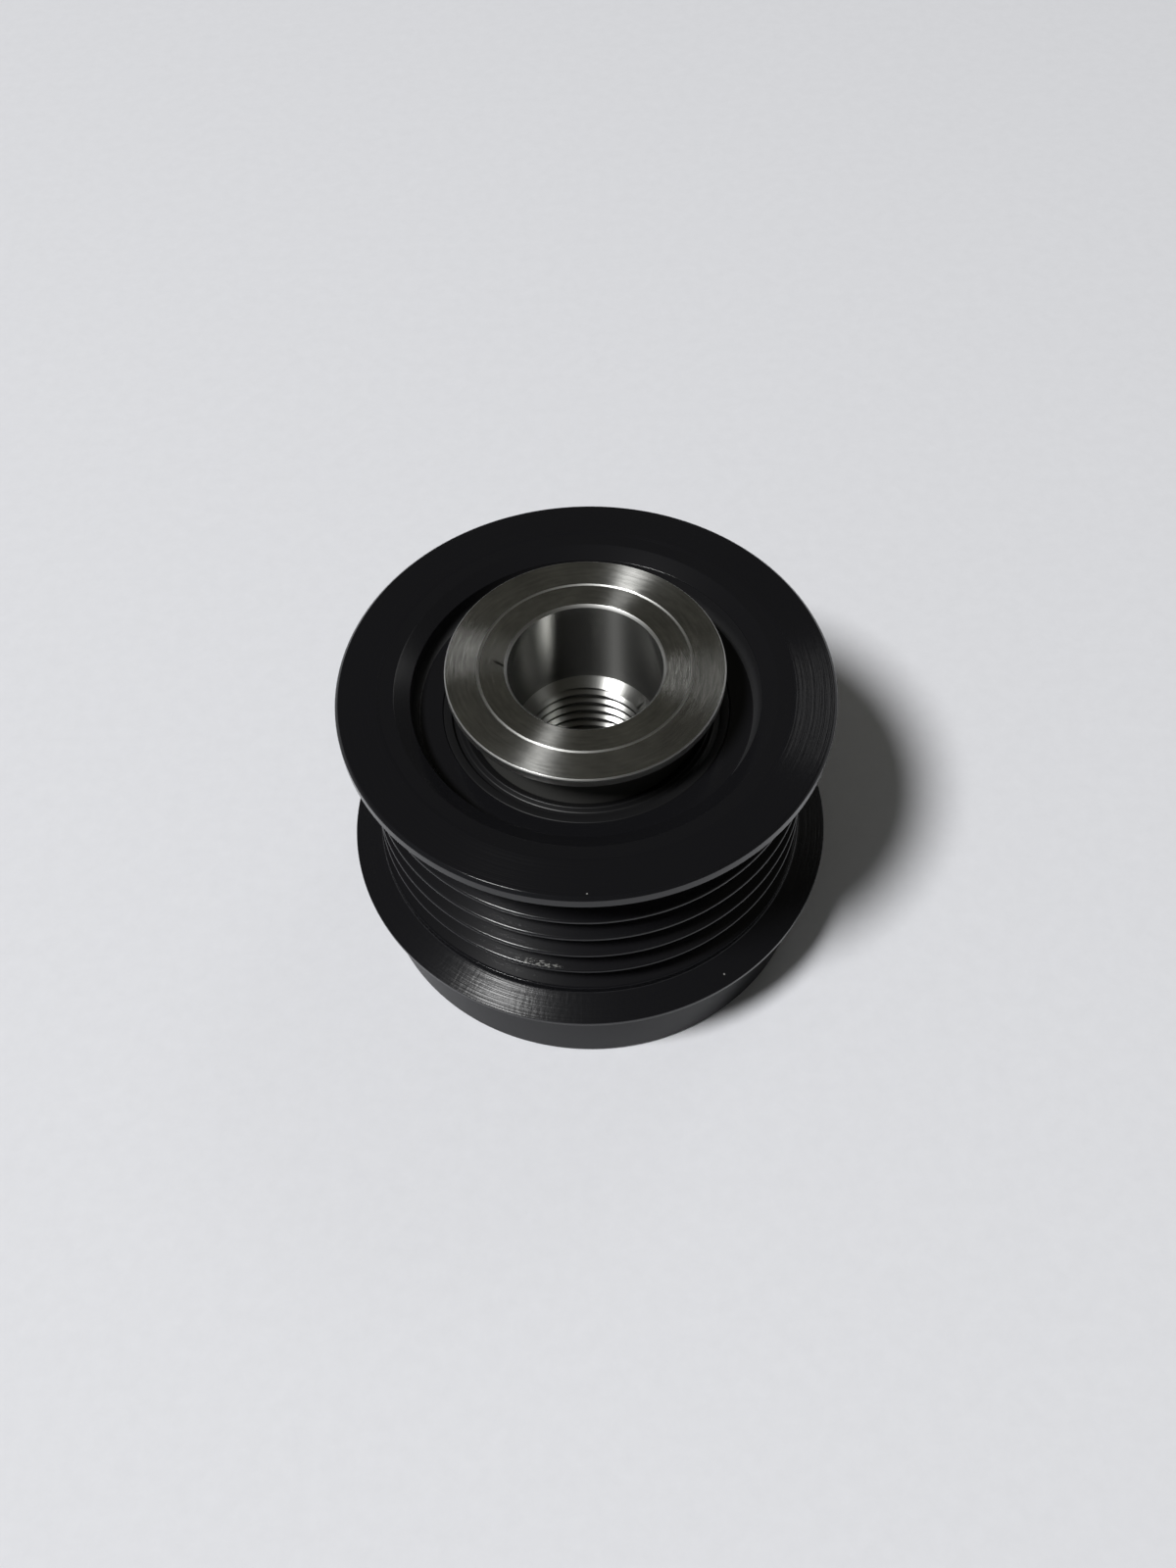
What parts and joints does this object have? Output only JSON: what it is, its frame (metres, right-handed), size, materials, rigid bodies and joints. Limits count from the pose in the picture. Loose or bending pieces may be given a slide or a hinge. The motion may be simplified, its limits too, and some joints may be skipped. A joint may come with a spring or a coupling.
{
  "type": "overrunning alternator pulley",
  "caption": "Ribbed alternator pulley with a one-way clutch: a black grooved ring that turns on a bright threaded hub with a drive serration.",
  "frame": {"origin": "centre of the foot of the nose, where the pulley stands", "axes": "+Z along the axis of rotation, from the nose towards the clamp face on the alternator side"},
  "size_m": [0.057, 0.057, 0.0402],
  "materials": {
    "black_steel": "satin black coating over turned steel",
    "turned_steel": "fine turned",
    "hardened_steel": "ground",
    "phosphated_steel": "matte phosphate",
    "nitrile_rubber": "moulded",
    "glass_filled_nylon": "moulded",
    "spring_steel": "blue-tempered strip",
    "bronze": "sintered bearing bronze"
  },
  "bodies": {
    "pulley": {"outer_ring": "black_steel", "outer_sleeve": "hardened_steel", "rear_seal_case": "phosphated_steel", "rear_seal_lip": "nitrile_rubber", "front_seal_case": "phosphated_steel", "front_seal_lip": "nitrile_rubber", "front_thrust_washer": "bronze"},
    "hub": {"hub": "turned_steel", "rear_inner_race": "hardened_steel", "clutch_ramp_ring": "hardened_steel", "front_inner_race": "hardened_steel", "clutch_cage": "glass_filled_nylon", "clutch_rollers": "hardened_steel", "clutch_springs": "spring_steel", "rear_thrust_washer": "bronze", "hub_retaining_ring": "spring_steel"},
    "rear_bearing": {"rear_roller_cage": "glass_filled_nylon", "rear_rollers": "hardened_steel"},
    "front_bearing": {"front_roller_cage": "glass_filled_nylon", "front_rollers": "hardened_steel"}
  },
  "joints": [
    {"name": "hub_spin", "type": "hinge", "parent": "pulley", "child": "hub", "pos_m": [0, 0, 0.02], "axis": [0, 0, 1], "continuous": true},
    {"name": "rear_bearing_walk", "type": "hinge", "parent": "pulley", "child": "rear_bearing", "pos_m": [0, 0, 0.0268], "axis": [0, 0, 1], "continuous": true},
    {"name": "front_bearing_walk", "type": "hinge", "parent": "pulley", "child": "front_bearing", "pos_m": [0, 0, 0.0124], "axis": [0, 0, 1], "continuous": true}
  ],
  "couplings": [
    {"joint": "rear_bearing_walk", "follows": "hub_spin", "ratio": 0.44828},
    {"joint": "front_bearing_walk", "follows": "hub_spin", "ratio": 0.44828}
  ]
}
